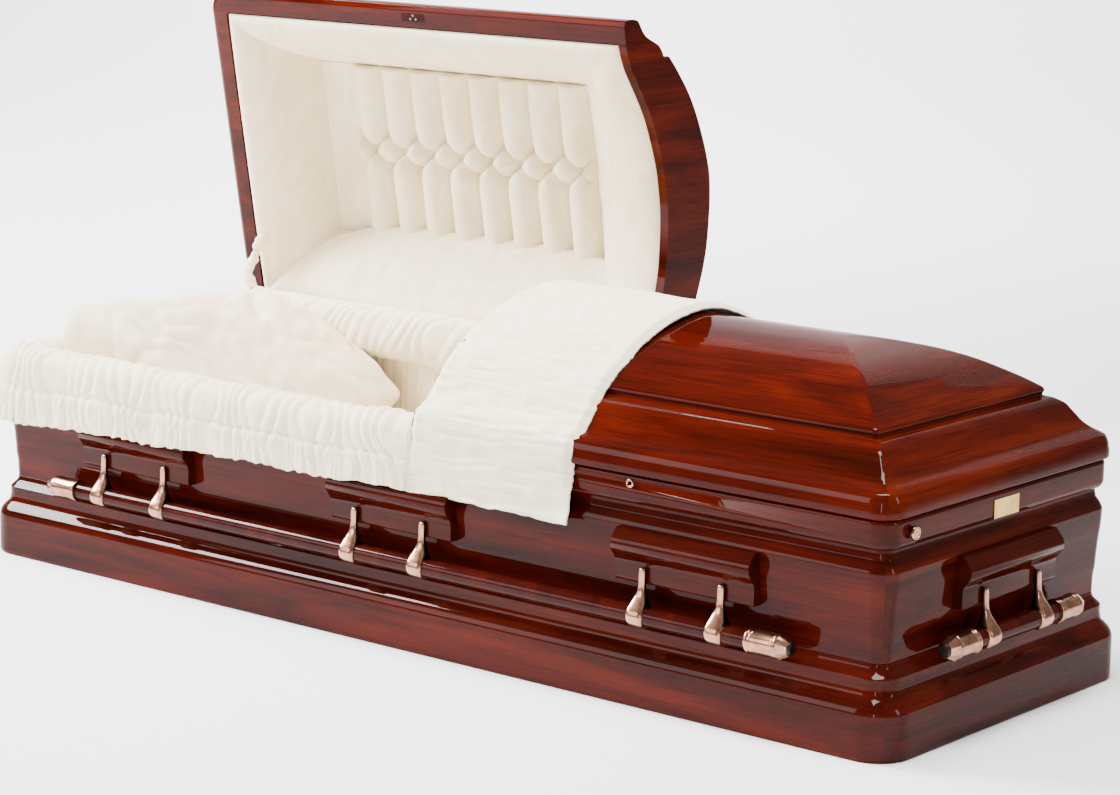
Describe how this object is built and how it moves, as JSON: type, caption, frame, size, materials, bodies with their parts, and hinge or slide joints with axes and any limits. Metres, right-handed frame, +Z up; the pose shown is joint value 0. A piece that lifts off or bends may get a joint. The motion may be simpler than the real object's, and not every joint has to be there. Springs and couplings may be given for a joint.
{
  "type": "funeral casket",
  "caption": "Split-lid funeral casket in gloss mahogany, its head lid open on a shirred and tufted ivory velvet interior, with swing-bar handles and antique copper fittings.",
  "frame": {"origin": "centre of the underside, on the floor", "axes": "X along the length with the head end at -X, the front long side with the key hole at -Y, the hinged side at +Y, +Z up"},
  "size_m": [2.146, 0.8821, 1.0647],
  "materials": {
    "mahogany": "gloss lacquer",
    "dark_mahogany": "gloss lacquer",
    "copper": "antique copper plate, polished on the raised parts",
    "brass": "brushed",
    "steel": "satin",
    "velvet": "crushed velvet",
    "ticking": "plain woven"
  },
  "bodies": {
    "casket": {"plinth": "mahogany", "shell": "mahogany", "rail": "mahogany", "key_escutcheon": "copper", "lock_plug": "copper", "name_plate": "brass", "head_lid_hinge_fixed": "steel", "foot_lid_hinge_fixed": "steel", "handle_block_front_1": "dark_mahogany", "handle_block_front_2": "dark_mahogany", "handle_block_front_3": "dark_mahogany", "handle_block_rear_1": "dark_mahogany", "handle_block_rear_2": "dark_mahogany", "handle_block_rear_3": "dark_mahogany", "handle_block_foot": "dark_mahogany", "handle_block_head": "dark_mahogany", "mattress": "ticking", "body_lining": "velvet", "pillow": "velvet", "extendover_front": "velvet", "extendover_head": "velvet", "rear_roll": "velvet", "stay_cover": "velvet"},
    "head_lid": {"head_lid": "mahogany", "latch_insert": "steel", "head_lid_hinge_moving": "steel", "head_lid_roll": "velvet", "head_lid_panel": "velvet"},
    "foot_lid": {"foot_lid": "mahogany", "foot_lid_hinge_moving": "steel", "foot_lid_lining": "velvet", "throw": "velvet"},
    "front_bar": {"bar_front": "dark_mahogany", "bar_cap_front_a": "copper", "bar_cap_front_b": "copper", "arm_front_1_a": "copper", "arm_front_1_b": "copper", "arm_front_2_a": "copper", "arm_front_2_b": "copper", "arm_front_3_a": "copper", "arm_front_3_b": "copper"},
    "rear_bar": {"bar_rear": "dark_mahogany", "bar_cap_rear_a": "copper", "bar_cap_rear_b": "copper", "arm_rear_1_a": "copper", "arm_rear_1_b": "copper", "arm_rear_2_a": "copper", "arm_rear_2_b": "copper", "arm_rear_3_a": "copper", "arm_rear_3_b": "copper"},
    "foot_bar": {"bar_foot": "dark_mahogany", "bar_cap_foot_a": "copper", "bar_cap_foot_b": "copper", "arm_foot_a": "copper", "arm_foot_b": "copper"},
    "head_bar": {"bar_head": "dark_mahogany", "bar_cap_head_a": "copper", "bar_cap_head_b": "copper", "arm_head_a": "copper", "arm_head_b": "copper"}
  },
  "joints": [
    {"name": "head_lid_hinge", "type": "hinge", "parent": "casket", "child": "head_lid", "pos_m": [0, 0.348, 0.3805], "axis": [1, 0, 0], "range_deg": [0, 80], "deforming": ["extendover_front", "extendover_head", "rear_roll", "pillow", "stay_cover"]},
    {"name": "foot_lid_hinge", "type": "hinge", "parent": "casket", "child": "foot_lid", "pos_m": [0, 0.348, 0.3805], "axis": [-1, 0, 0], "range_deg": [0, 80]},
    {"name": "front_bar_swing", "type": "hinge", "parent": "casket", "child": "front_bar", "pos_m": [0, -0.3541, 0.232], "axis": [-1, 0, 0], "range_deg": [0, 85]},
    {"name": "rear_bar_swing", "type": "hinge", "parent": "casket", "child": "rear_bar", "pos_m": [0, 0.3541, 0.232], "axis": [1, 0, 0], "range_deg": [0, 85]},
    {"name": "foot_bar_swing", "type": "hinge", "parent": "casket", "child": "foot_bar", "pos_m": [1.0461, 0, 0.232], "axis": [0, -1, 0], "range_deg": [0, 85]},
    {"name": "head_bar_swing", "type": "hinge", "parent": "casket", "child": "head_bar", "pos_m": [-1.0461, 0, 0.232], "axis": [0, 1, 0], "range_deg": [0, 85]}
  ]
}
